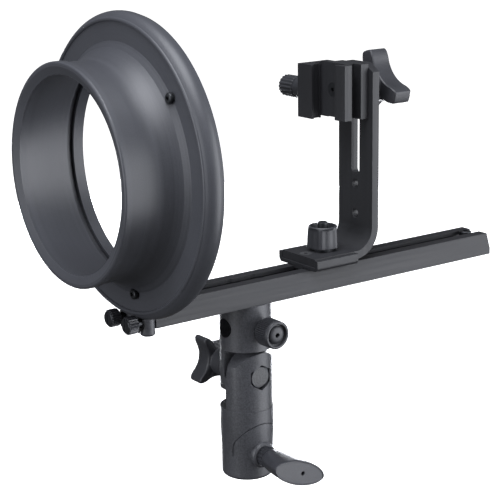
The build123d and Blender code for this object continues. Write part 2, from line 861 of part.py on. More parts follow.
# ==== ring bracket
with BuildPart() as ring_bracket:
    with BuildSketch(facing_right(-bracket_half)):
        with BuildLine():
            Polyline(
                (plate_rear, rail_top),
                (bracket_foot_rear, rail_top),
                (bracket_foot_rear, rail_top + bracket_t),
                (plate_rear + bracket_t, rail_top + bracket_t),
                (plate_rear + bracket_t, bracket_leg_top),
                (plate_rear, bracket_leg_top),
                close=True,
            )
        make_face()
    extrude(amount=bracket_half * 2)
    fillet(ring_bracket.edges().filter_by(Axis.Y).group_by(Axis.Z)[-1], bracket_round)
    fillet(ring_bracket.edges().filter_by(Axis.Z).group_by(Axis.Y)[-1], bracket_round)
    with BuildSketch(facing_back(plate_rear, 0, bracket_screw_z)):
        with GridLocations(bracket_screw_x * 2, 1, 2, 1):
            Circle(bracket_screw_r + recess_gap)
    extrude(amount=bracket_t, mode=Mode.SUBTRACT)
    with BuildSketch(facing_up(rail_top, 0, bracket_bolt_y)):
        Circle(bracket_bolt_r + recess_gap)
    extrude(amount=bracket_t, mode=Mode.SUBTRACT)
pieces["ring_bracket"] = ring_bracket.part

with BuildPart() as ring_bracket_screws:
    for side in (-1, 1):
        add(
            headed_screw(
                facing_back(plate_rear + bracket_t, side * bracket_screw_x, bracket_screw_z),
                bracket_screw_r,
                bracket_screw_length,
                bracket_head_r,
                bracket_head_height,
                bracket_head_round,
                collar_socket_af,
            )
        )
pieces["ring_bracket_screws"] = ring_bracket_screws.part

slot_nut_top = cavity_roof - end_play
pieces["ring_bracket_bolt"] = headed_screw(
    facing_up(rail_top + bracket_t, 0, bracket_bolt_y),
    bracket_bolt_r,
    rail_top + bracket_t - slot_nut_top + nut_t,
    bracket_bolt_head_r,
    bracket_bolt_head,
    bracket_bolt_round,
    hex_key_af,
)


def slot_nut(middle_y, screw_r):
    """A flat nut that slides under the lips of the rail."""
    with BuildPart() as nut:
        with BuildSketch(facing_up(slot_nut_top - nut_t, 0, middle_y)):
            Rectangle((cavity_half - slide_gap) * 2, nut_length)
            Circle(screw_r + thread_gap, mode=Mode.SUBTRACT)
        extrude(amount=nut_t)
    return nut.part


pieces["ring_bracket_nut"] = slot_nut(bracket_bolt_y, bracket_bolt_r)

# ==== carriage and L bracket
with BuildPart() as carriage:
    with BuildSketch(facing_front(carriage_front + carriage_length)) as channel:
        with BuildLine():
            Polyline(
                (-carriage_half, foot_bottom - carriage_floor),
                (-carriage_half, carriage_top),
                (-plate_half - carriage_wall_gap, carriage_top),
                (-plate_half - carriage_wall_gap, foot_bottom),
                (plate_half + carriage_wall_gap, foot_bottom),
                (plate_half + carriage_wall_gap, carriage_top),
                (carriage_half, carriage_top),
                (carriage_half, foot_bottom - carriage_floor),
                close=True,
            )
        make_face()
        fillet(channel.vertices().group_by(Axis.Y)[0], carriage_round)
    extrude(amount=carriage_length)
    with BuildSketch(facing_front(carriage_front + carriage_length)):
        with Locations((0, foot_bottom - carriage_floor)):
            Rectangle((slot_half - slide_gap) * 2, key_depth, align=(Align.CENTER, Align.MAX))
    extrude(amount=carriage_length)
    with BuildSketch(facing_up(rail_top - key_depth, 0, carriage_bolt_y)):
        Circle(carriage_bolt_r + recess_gap)
    extrude(amount=foot_bottom - rail_top + key_depth, mode=Mode.SUBTRACT)
    with BuildSketch(facing_up(foot_bottom, 0, foot_screw_y)):
        Circle(foot_screw_r + thread_gap)
    extrude(amount=plate_t - foot_screw_length - slide_gap, mode=Mode.SUBTRACT)
pieces["carriage"] = carriage.part

with BuildPart() as l_bracket:
    with BuildSketch(facing_right(-plate_half)) as plate_side:
        with BuildLine():
            Polyline(
                (foot_front, foot_bottom),
                (upright_rear, foot_bottom),
                (upright_rear, plate_top),
                (upright_y, plate_top),
                (upright_y, foot_top),
                (foot_front, foot_top),
                close=True,
            )
        make_face()
        fillet(plate_side.vertices().group_by(Axis.Y)[0].sort_by(Axis.X)[-1], bend_r + plate_t)
        inner_corner = Vector(upright_y, foot_top)
        fillet(plate_side.vertices().sort_by_distance(inner_corner)[0], bend_r)
    extrude(amount=plate_half * 2)
    for side in (-1, 1):
        with BuildSketch(facing_back(upright_y)):
            with BuildLine():
                Polyline(
                    (side * plate_half, plate_top - plate_corner[1]),
                    (side * (plate_half - plate_corner[0]), plate_top),
                    (side * plate_half, plate_top),
                    close=True,
                )
            make_face()
        extrude(amount=plate_t, mode=Mode.SUBTRACT)
    with BuildSketch(facing_back(upright_y)):
        with Locations((0, (height_slot_low + height_slot_high) / 2)):
            SlotOverall(height_slot_high - height_slot_low, height_slot_r * 2, rotation=90)
        for hole_z in plate_hole_z:
            with Locations((0, hole_z)):
                Circle(plate_hole_r)
    extrude(amount=plate_t, mode=Mode.SUBTRACT)
    with Locations(facing_up(foot_top, 0, foot_screw_y)):
        CounterSinkHole(
            foot_screw_r + recess_gap,
            foot_screw_head_r + recess_gap,
            plate_t,
            countersink,
        )
    with Locations(facing_up(foot_top, 0, carriage_bolt_y)):
        Hole(carriage_bolt_r + recess_gap, plate_t)
pieces["l_bracket"] = l_bracket.part

pieces["foot_screw"] = countersunk_screw(
    facing_up(foot_top, 0, foot_screw_y),
    foot_screw_r,
    foot_screw_length,
    foot_screw_head_r,
    small_key_af,
)
pieces["carriage_nut"] = slot_nut(carriage_bolt_y, carriage_bolt_r)

with BuildPart() as carriage_bolt:
    with BuildSketch(facing_up(slot_nut_top - nut_t, 0, carriage_bolt_y)):
        Circle(carriage_bolt_r)
    extrude(amount=carriage_bolt_top - slot_nut_top + nut_t)
    chamfer(carriage_bolt.edges().group_by(Axis.Z)[-1], tip_bevel)
pieces["carriage_bolt"] = carriage_bolt.part

with BuildPart() as foot_washer:
    with BuildSketch(facing_up(foot_top, 0, carriage_bolt_y)):
        Circle(foot_washer_r)
        Circle(carriage_bolt_r + shaft_gap, mode=Mode.SUBTRACT)
    extrude(amount=foot_washer_t)
pieces["foot_washer"] = foot_washer.part

foot_knob_bottom = foot_top + foot_washer_t + end_play
foot_knob_floor = foot_knob_top - foot_knob_recess
with BuildPart() as carriage_knob:
    with BuildSketch(facing_up(foot_knob_bottom, 0, carriage_bolt_y)):
        Circle(foot_knob_r)
        with PolarLocations(foot_flute_centre, foot_knob_flutes):
            Circle(foot_flute_r, mode=Mode.SUBTRACT)
    extrude(amount=foot_knob_top - foot_knob_bottom)
    fillet(carriage_knob.edges().group_by(Axis.Z)[-1], foot_knob_round)
    with BuildSketch(facing_up(foot_knob_top, 0, carriage_bolt_y)):
        Circle(foot_knob_recess_r)
    extrude(amount=-foot_knob_recess, mode=Mode.SUBTRACT)
    with BuildSketch(facing_up(foot_knob_bottom, 0, carriage_bolt_y)):
        Circle(foot_insert_r)
    extrude(amount=foot_knob_top - foot_knob_bottom, mode=Mode.SUBTRACT)
pieces["carriage_knob"] = carriage_knob.part

with BuildPart() as carriage_knob_insert:
    with BuildSketch(facing_up(foot_knob_bottom, 0, carriage_bolt_y)):
        Circle(foot_insert_r)
        Circle(carriage_bolt_r + shaft_gap, mode=Mode.SUBTRACT)
    extrude(amount=foot_knob_floor - foot_knob_bottom)
pieces["carriage_knob_insert"] = carriage_knob_insert.part

# ==== flash clamp
undercut_x = lip_inner + lip_undercut
tongue_left = jaw_right - tongue_lap
tongue_pocket = tongue_lap + prong_travel + air_gap
with BuildPart() as shoe_base:
    with BuildSketch(facing_up(shoe_bottom)):
        with BuildLine():
            Polyline(
                (shoe_left, shoe_floor),
                (undercut_x, shoe_floor),
                (undercut_x, shoe_front + lip_root_t),
                (lip_inner, shoe_front + lip_tip_t),
                (lip_inner, shoe_front),
                (lip_face_x, shoe_front),
                (shoe_right, shoe_front + lip_slope),
                (shoe_right, side_groove_front),
                (side_groove_turn, side_groove_root),
                (side_groove_x, side_groove_root),
                (side_groove_x, shoe_split),
                (tongue_left, shoe_split),
                (tongue_left, tongue_front),
                (shoe_left, tongue_front),
                close=True,
            )
        make_face()
    extrude(amount=shoe_height)
    with Locations(facing_front(shoe_floor, shoe_screw_x, shoe_z)):
        CounterSinkHole(
            shoe_screw_r + recess_gap,
            shoe_screw_head_r + thread_gap,
            shoe_height,
            countersink,
        )
    with BuildSketch(facing_right(tongue_left, jaw_stud_y, jaw_stud_z)):
        Circle(jaw_stud_r + thread_gap)
    extrude(amount=jaw_stud_end - tongue_left + air_gap, mode=Mode.SUBTRACT)
pieces["shoe_base"] = shoe_base.part

prong_groove = prong_t + 2 * slide_gap
with BuildPart() as shoe_back_plate:
    with BuildSketch(facing_up(shoe_bottom)):
        with Locations((shoe_left, shoe_split)):
            Rectangle(
                shoe_right - shoe_left,
                upright_y - end_play - shoe_split,
                align=(Align.MIN, Align.MIN),
            )
    extrude(amount=shoe_height)
    with BuildSketch(facing_back(upright_y - end_play, 0, height_bolt_z)):
        Rectangle((height_slot_r - slide_gap) * 2, key_above, align=(Align.CENTER, Align.MIN))
        Rectangle((height_slot_r - slide_gap) * 2, key_below, align=(Align.CENTER, Align.MAX))
    extrude(amount=key_t)
    for side in (-1, 1):
        with BuildSketch(facing_right(shoe_left, shoe_split, shoe_z + side * prong_offset)):
            Rectangle(prong_groove, prong_height + 2 * slide_gap, align=(Align.MIN, Align.CENTER))
        extrude(amount=prong_end + prong_travel + air_gap - shoe_left, mode=Mode.SUBTRACT)
    with BuildSketch(facing_back(shoe_split, shoe_screw_x, shoe_z)):
        Circle(shoe_screw_r + thread_gap)
    extrude(amount=shoe_floor + shoe_screw_length + air_gap - shoe_split, mode=Mode.SUBTRACT)
    with BuildSketch(facing_back(shoe_split, 0, height_bolt_z)):
        RegularPolygon(height_bolt_af / 2 + recess_gap, 6, major_radius=False)
    extrude(amount=height_bolt_head + recess_gap, mode=Mode.SUBTRACT)
    with BuildSketch(facing_back(shoe_split, 0, height_bolt_z)):
        Circle(height_bolt_r + recess_gap)
    extrude(amount=upright_rear - shoe_split, mode=Mode.SUBTRACT)
pieces["shoe_back_plate"] = shoe_back_plate.part

pieces["shoe_back_screw"] = countersunk_screw(
    facing_front(shoe_floor, shoe_screw_x, shoe_z),
    shoe_screw_r,
    shoe_screw_length,
    shoe_screw_head_r,
    small_key_af,
)

with BuildPart() as shoe_jaw:
    with BuildSketch(facing_up(shoe_bottom - jaw_drop)):
        with BuildLine():
            Polyline(
                (jaw_left, shoe_front),
                (jaw_lip_inner, shoe_front),
                (jaw_lip_inner, shoe_front + lip_tip_t),
                (jaw_lip_inner - lip_undercut, shoe_front + lip_root_t),
                (jaw_lip_inner - lip_undercut, shoe_floor),
                (jaw_right, shoe_floor),
                (jaw_right, tongue_front - slide_gap),
                (jaw_right - tongue_pocket, tongue_front - slide_gap),
                (jaw_right - tongue_pocket, shoe_split + slide_gap),
                (jaw_right, shoe_split + slide_gap),
                (jaw_right, jaw_rear),
                (jaw_left, jaw_rear),
                close=True,
            )
        make_face()
    extrude(amount=shoe_height)
    for side in (-1, 1):
        prong_y = shoe_split + slide_gap
        with BuildSketch(facing_right(jaw_right, prong_y, shoe_z + side * prong_offset)):
            Rectangle(prong_t, prong_height, align=(Align.MIN, Align.CENTER))
        extrude(amount=prong_end - jaw_right)
    with BuildSketch(facing_right(jaw_left, jaw_stud_y, jaw_stud_z)):
        Circle(jaw_stud_r + recess_gap)
    extrude(amount=jaw_right - jaw_left, mode=Mode.SUBTRACT)
pieces["shoe_jaw"] = shoe_jaw.part

with BuildPart() as jaw_stud:
    with BuildSketch(facing_left(jaw_stud_end, jaw_stud_y, jaw_stud_z)):
        Circle(jaw_stud_r)
    extrude(amount=jaw_stud_end - jaw_stud_tip)
pieces["jaw_stud"] = jaw_stud.part

with BuildPart() as jaw_knob:
    with BuildSketch(facing_left(jaw_left - end_play, jaw_stud_y, jaw_stud_z)):
        Circle(jaw_neck_r)
    extrude(amount=jaw_left - end_play - jaw_neck_end)
    with BuildSketch(facing_left(jaw_neck_end, jaw_stud_y, jaw_stud_z)):
        Circle(jaw_head_r)
        with PolarLocations(jaw_head_r, jaw_head_flutes):
            Circle(jaw_flute_r, mode=Mode.SUBTRACT)
    extrude(amount=jaw_neck_end - jaw_head_end)
    chamfer(jaw_knob.edges().group_by(Axis.X)[0], thumb_head_bevel)
    with BuildSketch(facing_left(jaw_left - end_play, jaw_stud_y, jaw_stud_z)):
        Circle(jaw_stud_r + shaft_gap)
    extrude(amount=jaw_left - end_play - jaw_stud_tip + air_gap, mode=Mode.SUBTRACT)
pieces["jaw_knob"] = jaw_knob.part

bolt_end_y = wing_end - height_bolt_cover
with BuildPart() as height_bolt:
    with BuildSketch(facing_back(shoe_split + end_play, 0, height_bolt_z)):
        RegularPolygon(height_bolt_af / 2, 6, major_radius=False)
    extrude(amount=height_bolt_head)
    with BuildSketch(facing_back(shoe_split + height_bolt_head, 0, height_bolt_z)):
        Circle(height_bolt_r)
    extrude(amount=bolt_end_y - shoe_split - height_bolt_head)
pieces["height_bolt"] = height_bolt.part

with BuildPart() as height_washer:
    with BuildSketch(facing_back(upright_rear + end_play, 0, height_bolt_z)):
        Circle(height_washer_r)
        Circle(height_bolt_r + shaft_gap, mode=Mode.SUBTRACT)
    extrude(amount=height_washer_t)
pieces["height_washer"] = height_washer.part

wing_start = upright_rear + height_washer_t + 2 * end_play
height_insert_r = height_bolt_r + thread_gap + insert_wall
with BuildPart() as height_knob:
    with BuildSketch(facing_front(wing_end, 0, height_bolt_z)) as wings:
        Circle(wing_r)
        with PolarLocations(wing_scallop_centre, wing_count, wing_first + 180 / wing_count):
            Circle(wing_scallop_r, mode=Mode.SUBTRACT)
        fillet(wings.vertices(), wing_tip_round)
    extrude(amount=wing_end - wing_hub_end)
    fillet(height_knob.edges().group_by(Axis.Y)[0], wing_edge_round)
    fillet(height_knob.edges().group_by(Axis.Y)[-1], wing_edge_round)
    with BuildSketch(facing_front(wing_hub_end, 0, height_bolt_z)):
        Circle(wing_hub_r)
    extrude(amount=wing_hub_end - wing_start)
    with BuildSketch(facing_back(wing_start, 0, height_bolt_z)):
        Circle(height_insert_r)
    extrude(amount=bolt_end_y - wing_start + air_gap, mode=Mode.SUBTRACT)
pieces["height_knob"] = height_knob.part

with BuildPart() as height_knob_insert:
    with BuildSketch(facing_back(wing_start, 0, height_bolt_z)):
        Circle(height_insert_r)
        Circle(height_bolt_r + shaft_gap, mode=Mode.SUBTRACT)
    extrude(amount=bolt_end_y - wing_start)
pieces["height_knob_insert"] = height_knob_insert.part

for node_name, piece in pieces.items():
    piece.label = node_name
    export_step(piece, f"parts/{node_name}.step")
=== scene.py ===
"""Looks for the umbrella swivel bracket: finishes, turned and knurled pieces, and a studio.

Everything is in metres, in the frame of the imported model: +X to the side of the two
locking screws, -Y the way the light shines, +Z up."""
import json
import math

import bmesh
import bpy
from bpy.props import FloatProperty, FloatVectorProperty, IntProperty, PointerProperty
from mathutils import Matrix, Vector


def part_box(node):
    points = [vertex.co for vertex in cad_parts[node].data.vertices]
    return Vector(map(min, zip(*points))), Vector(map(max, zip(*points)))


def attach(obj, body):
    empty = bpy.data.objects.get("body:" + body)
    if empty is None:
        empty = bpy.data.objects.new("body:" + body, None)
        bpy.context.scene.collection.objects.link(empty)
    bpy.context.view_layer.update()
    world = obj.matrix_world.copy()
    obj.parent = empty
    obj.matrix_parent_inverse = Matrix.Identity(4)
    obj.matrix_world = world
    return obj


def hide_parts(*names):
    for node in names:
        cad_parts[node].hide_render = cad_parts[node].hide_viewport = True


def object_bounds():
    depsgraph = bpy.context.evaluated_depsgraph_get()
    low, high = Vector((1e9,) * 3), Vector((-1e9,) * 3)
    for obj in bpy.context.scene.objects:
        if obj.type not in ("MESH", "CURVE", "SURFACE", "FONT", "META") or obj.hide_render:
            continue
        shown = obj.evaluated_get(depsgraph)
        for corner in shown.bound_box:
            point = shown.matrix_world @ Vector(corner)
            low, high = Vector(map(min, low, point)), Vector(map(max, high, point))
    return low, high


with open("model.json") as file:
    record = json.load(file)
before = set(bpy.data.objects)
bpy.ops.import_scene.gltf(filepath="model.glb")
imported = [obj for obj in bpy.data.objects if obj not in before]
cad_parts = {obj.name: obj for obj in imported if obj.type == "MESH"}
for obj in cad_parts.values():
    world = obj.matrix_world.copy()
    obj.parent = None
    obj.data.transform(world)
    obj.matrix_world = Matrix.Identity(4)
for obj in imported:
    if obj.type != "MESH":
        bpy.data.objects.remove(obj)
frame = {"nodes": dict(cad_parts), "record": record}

CAD_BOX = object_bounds()
MM = 0.001
FULL_TURN = 2 * math.pi
BODY_OF = {
    node: body
    for body, members in frame["record"]["behaviour"]["bodies"].items()
    for node in members
}

bl_info = {
    "name": "Umbrella Swivel Bracket",
    "version": (1, 0, 0),
    "blender": (4, 5, 0),
    "location": "View3D > Sidebar > Bracket",
    "description": "Finishes and details of a tilting umbrella and flash bracket",
    "category": "Object",
}


def middle_of(node):
    """The middle of a CAD node's box."""
    low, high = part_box(node)
    return (low + high) / 2


# ---- sizes and colours that a user would change


class BracketFinishes(bpy.types.PropertyGroup):
    """Colours and surface textures of the bracket's finishes."""

    coat: FloatVectorProperty(
        name="Powder coat",
        description="Colour of the coated castings",
        subtype="COLOR",
        size=3,
        min=0,
        max=1,
        default=(0.056, 0.0575, 0.064),
    )
    anodise: FloatVectorProperty(
        name="Anodising",
        description="Colour of the rail, the plates and the flash clamp",
        subtype="COLOR",
        size=3,
        min=0,
        max=1,
        default=(0.0155, 0.016, 0.0185),
    )
    ring_paint: FloatVectorProperty(
        name="Ring paint",
        description="Colour of the spun ring and its collar",
        subtype="COLOR",
        size=3,
        min=0,
        max=1,
        default=(0.050, 0.052, 0.060),
    )
    plastic: FloatVectorProperty(
        name="Knob plastic",
        description="Colour of the moulded knobs",
        subtype="COLOR",
        size=3,
        min=0,
        max=1,
        default=(0.029, 0.030, 0.0345),
    )
    lever_paint: FloatVectorProperty(
        name="Lever paint",
        description="Colour of the stand lock's lever",
        subtype="COLOR",
        size=3,
        min=0,
        max=1,
        default=(0.034, 0.035, 0.041),
    )
    blackening: FloatVectorProperty(
        name="Blackening",
        description="Colour of the blackened screws",
        subtype="COLOR",
        size=3,
        min=0,
        max=1,
        default=(0.040, 0.042, 0.046),
    )
    grain_pitch: FloatProperty(
        name="Grain pitch",
        description="Distance between grains of the powder coat",
        unit="LENGTH",
        min=0.0001,
        max=0.01,
        default=0.0009,
    )
    grain_depth: FloatProperty(
        name="Grain depth",
        description="Height of the powder coat's grain",
        unit="LENGTH",
        min=0,
        max=0.001,
        default=0.00006,
    )


class BracketDetails(bpy.types.PropertyGroup):
    """Edges, knurls and flutes of the pieces that hands touch."""

    edge: FloatProperty(
        name="Edge break",
        description="Width of the broken edges of machined pieces",
        unit="LENGTH",
        min=0.00005,
        max=0.002,
        default=0.00042,
    )
    cast_edge: FloatProperty(
        name="Cast edge",
        description="Width of the rounded edges of the castings",
        unit="LENGTH",
        min=0.00005,
        max=0.002,
        default=0.0006,
    )
    lever_turn: FloatProperty(
        name="Lever turn",
        description="How far the lever's paddle is turned from level",
        subtype="ANGLE",
        default=math.radians(-21),
    )
    knurl_teeth: IntProperty(
        name="Knurl teeth",
        description="Teeth round the umbrella screw's knob",
        min=12,
        max=96,
        default=44,
    )


class BracketStudio(bpy.types.PropertyGroup):
    """Camera and lights."""

    lens: FloatProperty(
        name="Lens",
        description="Focal length of the camera",
        subtype="DISTANCE_CAMERA",
        min=20,
        max=300,
        default=107.73,
    )
    heading: FloatProperty(
        name="Heading",
        description="Direction from which the camera looks, measured from the front",
        subtype="ANGLE",
        default=math.radians(53.88),
    )
    pitch: FloatProperty(
        name="Pitch",
        description="How far the camera looks down",
        subtype="ANGLE",
        default=math.radians(14.49),
    )
    roll: FloatProperty(
        name="Roll",
        description="Turn of the camera about its own axis",
        subtype="ANGLE",
        default=math.radians(-0.85),
    )
    position: FloatVectorProperty(
        name="Position",
        description="Where the camera stands",
        subtype="TRANSLATION",
        unit="LENGTH",
        size=3,
        default=(0.6520, -0.4719, 0.3399),
    )
    key_power: FloatProperty(
        name="Key light",
        description="Power of the large soft light on the right; the others follow it",
        subtype="POWER",
        min=0,
        default=26,
    )
    fill: FloatProperty(
        name="Fill",
        description="Strength of the even light all round",
        min=0,
        max=5,
        default=0.085,
    )


# ---- shader maths


class Wire:
    """A wire from a node's output, which Python sums can use."""

    def __init__(self, finish, socket):
        self.finish = finish
        self.socket = socket

    def _sum(self, operation, first, second):
        return self.finish.node("ShaderNodeMath", {"operation": operation}, {0: first, 1: second})

    def __add__(self, other):
        return self._sum("ADD", self, other)

    def __radd__(self, other):
        return self._sum("ADD", other, self)

    def __sub__(self, other):
        return self._sum("SUBTRACT", self, other)

    def __rsub__(self, other):
        return self._sum("SUBTRACT", other, self)

    def __mul__(self, other):
        return self._sum("MULTIPLY", self, other)

    def __rmul__(self, other):
        return self._sum("MULTIPLY", other, self)

    def __pow__(self, other):
        return self._sum("POWER", self, other)


class Finish:
    """A material and its nodes."""

    def __init__(self, name):
        self.material = bpy.data.materials.new(name)
        self.material.use_nodes = True
        self.tree = self.material.node_tree
        self.tree.nodes.clear()

    def node(self, kind, settings, sockets, out=0):
        """Adds a node with its settings and the values or wires of its sockets."""
        made = self.tree.nodes.new(kind)
        for key, value in settings.items():
            setattr(made, key, value)
        for key, value in sockets.items():
            if isinstance(value, Wire):
                self.tree.links.new(value.socket, made.inputs[key])
            else:
                made.inputs[key].default_value = value
        return Wire(self, made.outputs[out]) if made.outputs else None

    def place(self, stretch=(1, 1, 1)):
        """The point on the piece, with each axis stretched."""
        point = self.node("ShaderNodeTexCoord", {}, {}, "Object")
        return self.node("ShaderNodeMapping", {}, {"Vector": point, "Scale": stretch})

    def noise(self, point, scale, detail=2.0, rough=0.5):
        """Cloudy noise about the point, from 0 to 1."""
        return self.node(
            "ShaderNodeTexNoise",
            {"noise_dimensions": "3D"},
            {"Vector": point, "Scale": scale, "Detail": detail, "Roughness": rough},
        )

    def tone(self, value, reach):
        """0 where the value is that far below a half, 1 where it is that far above."""
        return self.node(
            "ShaderNodeMapRange",
            {"clamp": True},
            {"Value": value, "From Min": 0.5 - reach, "From Max": 0.5 + reach},
        )

    def blend(self, mask, first, second):
        """The first colour where the mask is 0, the second where it is 1."""
        return self.node(
            "ShaderNodeMix",
            {"data_type": "RGBA"},
            {0: mask, 6: (*first, 1), 7: (*second, 1)},
            out=2,
        )

    def bump(self, height, depth):
        """A surface that rises by the depth where the height is 1."""
        return self.node("ShaderNodeBump", {}, {"Height": height, "Distance": depth})

    def close(self, **sockets):
        """Ends the nodes with a surface shader, and gives the material."""
        named = {key.replace("_", " "): value for key, value in sockets.items()}
        shader = self.node("ShaderNodeBsdfPrincipled", {}, named)
        self.node("ShaderNodeOutputMaterial", {}, {"Surface": shader})
        return self.material

    def close_toned(self, tone, colours, roughness, height, depth, **sockets):
        """Ends a finish whose colour and roughness go from the first to the second with the tone."""
        least, most = roughness
        return self.close(
            Base_Color=self.blend(tone, *colours),
            Roughness=tone * (most - least) + least,
            Normal=self.bump(height, depth),
            **sockets,
        )


def shades(colour, dark, light):
    """A darker and a lighter shade of the colour."""
    return [tuple(min(1.0, c * amount) for c in colour) for amount in (dark, light)]


# ---- finishes


def powder_coat(name, colour, pitch, depth):
    """Matt black powder coat: fine grains, with lighter and darker patches."""
    f = Finish(name)
    point = f.place()
    patch_pitch = pitch * 28
    grains = f.noise(point, 1 / pitch, 3.0, 0.6)
    patches = f.noise(point, 1 / patch_pitch)
    mottle = f.tone(grains * 0.8 + patches * 0.2, 0.16)
    return f.close_toned(mottle, shades(colour, 0.72, 1.35), (0.36, 0.50), grains, depth)


def anodised(name, colour, along):
    """Black anodised aluminium with faint drawing lines along one axis."""
    f = Finish(name)
    across_lines = 900
    along_lines = 14
    stretch = [along_lines if axis == along else across_lines for axis in "XYZ"]
    lines = f.noise(f.place(stretch), 1.0, 3.0, 0.6)
    specks = f.noise(f.place(), 2600, 2.0, 0.6)
    tone = f.tone(lines * 0.65 + specks * 0.35, 0.18)
    relief = lines + specks * 0.6
    return f.close_toned(tone, shades(colour, 0.75, 1.3), (0.50, 0.64), relief, 0.00002)


def spun_paint(name, colour, centre_z):
    """Satin black paint over metal spun on a lathe about the ring's axis."""
    f = Finish(name)
    point = f.place()
    across = f.node("ShaderNodeSeparateXYZ", {}, {"Vector": point}, "X")
    up = f.node("ShaderNodeSeparateXYZ", {}, {"Vector": point}, "Z") - centre_z
    radius = (across * across + up * up) ** 0.5
    grooves = f.node(
        "ShaderNodeTexNoise",
        {"noise_dimensions": "1D"},
        {"W": radius * 1400, "Scale": 1.0, "Detail": 2.0},
    )
    specks = f.noise(point, 2200, 3.0, 0.65)
    patches = f.noise(point, 26)
    tone = f.tone(grooves * 0.25 + specks * 0.5 + patches * 0.25, 0.15)
    relief = specks * 0.8 + grooves * 0.35
    return f.close_toned(tone, shades(colour, 0.82, 1.2), (0.40, 0.50), relief, 0.00003)


def moulded(name, colour, roughness):
    """Moulded black plastic with a fine eroded texture."""
    f = Finish(name)
    point = f.place()
    erosion = f.noise(point, 1900, 4.0, 0.65)
    flow = f.noise(point, 70)
    tone = f.tone(erosion * 0.6 + flow * 0.4, 0.15)
    dullest = roughness + 0.12
    return f.close_toned(tone, shades(colour, 0.8, 1.25), (roughness, dullest), erosion, 0.00003)


def metal(name, colour, roughness, shine=1.0):
    """Bare or plated metal with turning marks and small stains."""
    f = Finish(name)
    marks = f.noise(f.place((1500, 500, 500)), 1.0, 3.0, 0.6)
    stains = f.noise(f.place(), 190, 3.0, 0.6)
    tone = f.tone(marks * 0.5 + stains * 0.5, 0.15)
    dullest = roughness + 0.15
    return f.close_toned(
        tone, shades(colour, 0.7, 1.1), (roughness, dullest), marks, 0.00001, Metallic=shine
    )


def pressed_fibre(name):
    """Brown-grey friction fibre, pressed from short strands."""
    f = Finish(name)
    strands = f.noise(f.place((1600, 500, 900)), 1.0, 4.0, 0.7)
    tone = f.tone(strands, 0.15)
    browns = ((0.05, 0.045, 0.04), (0.12, 0.10, 0.08))
    return f.close_toned(tone, browns, (0.75, 0.85), strands, 0.00006)


ZINC = (0.52, 0.53, 0.55)
CHROME = (0.72, 0.73, 0.75)
BRASS = (0.62, 0.46, 0.20)
ROUGH_STEEL = (0.045, 0.046, 0.049)
FINISHES = {}


def finish_of(name):
    """The finish of that name, made once."""
    if name not in FINISHES:
        FINISHES[name] = make_finish(name)
    return FINISHES[name]


def make_finish(name):
    """Makes the finish of that name from the user's colours."""
    look = bpy.context.scene.bracket_finishes
    makers = {
        "coat": lambda: powder_coat(name, look.coat, look.grain_pitch, look.grain_depth),
        "anodised_along": lambda: anodised(name, look.anodise, "Y"),
        "anodised_upright": lambda: anodised(name, look.anodise, "Z"),
        "ring_paint": lambda: spun_paint(name, look.ring_paint, middle_of("outer_ring").z),
        "knob_plastic": lambda: moulded(name, look.plastic, 0.42),
        "black_screw": lambda: metal(name, look.blackening, 0.34, 0.7),
        "zinc": lambda: metal(name, ZINC, 0.3),
        "chrome": lambda: metal(name, CHROME, 0.12),
        "rough_steel": lambda: powder_coat(name, ROUGH_STEEL, 0.0011, 0.0003),
        "lever_paint": lambda: moulded(name, look.lever_paint, 0.3),
        "brass": lambda: metal(name, BRASS, 0.28),
        "fibre": lambda: pressed_fibre(name),
    }
    return makers[name]()


NODE_FINISHES = {
    "lower_casting": "coat",
    "upper_casting": "coat",
    "stand_lock_screw": "black_screw",
    "stand_lock_lever": "coat",
    "friction_washer": "fibre",
    "tilt_bolt": "black_screw",
    "tilt_washer": "black_screw",
    "tilt_knob": "knob_plastic",
    "tilt_knob_insert": "brass",
    "umbrella_lock_screw": "zinc",
    "umbrella_lock_collar": "black_screw",
    "umbrella_lock_knob": "knob_plastic",
    "rail": "anodised_along",
    "rail_fixing_screws": "black_screw",
    "rail_stop_screw": "black_screw",
    "outer_ring": "ring_paint",
    "collar": "ring_paint",
    "collar_screws": "black_screw",
    "collar_nuts": "chrome",
    "rail_end_block": "coat",
    "ring_thumb_screw_left": "black_screw",
    "ring_thumb_screw_right": "black_screw",
    "ring_bracket": "anodised_along",
    "ring_bracket_screws": "black_screw",
    "ring_bracket_bolt": "black_screw",
    "ring_bracket_nut": "zinc",
    "carriage": "anodised_along",
    "l_bracket": "anodised_upright",
    "foot_screw": "rough_steel",
    "carriage_nut": "zinc",
    "carriage_bolt": "zinc",
    "foot_washer": "black_screw",
    "carriage_knob": "knob_plastic",
    "carriage_knob_insert": "black_screw",
    "shoe_base": "anodised_upright",
    "shoe_back_plate": "anodised_upright",
    "shoe_back_screw": "black_screw",
    "shoe_jaw": "anodised_upright",
    "jaw_stud": "black_screw",
    "jaw_knob": "knob_plastic",
    "height_bolt": "zinc",
    "height_washer": "black_screw",
    "height_knob": "knob_plastic",
    "height_knob_insert": "brass",
}


class SWIVEL_OT_coat_parts(bpy.types.Operator):
    """Give every carried-over part its finish"""

    bl_idname = "swivel.coat_parts"
    bl_label = "Coat the Parts"

    def execute(self, context):
        for node, finish in NODE_FINISHES.items():
            mesh = frame["nodes"][node].data
            mesh.materials.clear()
            mesh.materials.append(finish_of(finish))
        return {"FINISHED"}


# ---- making pieces

RIGHT = ((0, 1, 0), (1, 0, 0))
LEFT = ((0, -1, 0), (-1, 0, 0))
FRONT = ((1, 0, 0), (0, -1, 0))
UP = ((1, 0, 0), (0, 0, 1))

SHARP_CORNER = math.radians(38)
FLAT_WITHIN = math.radians(0.6)
SMOOTH_BELOW = math.radians(40)
SAME_PLACE = 0.002 * MM
EDGE_SEGMENTS = 2


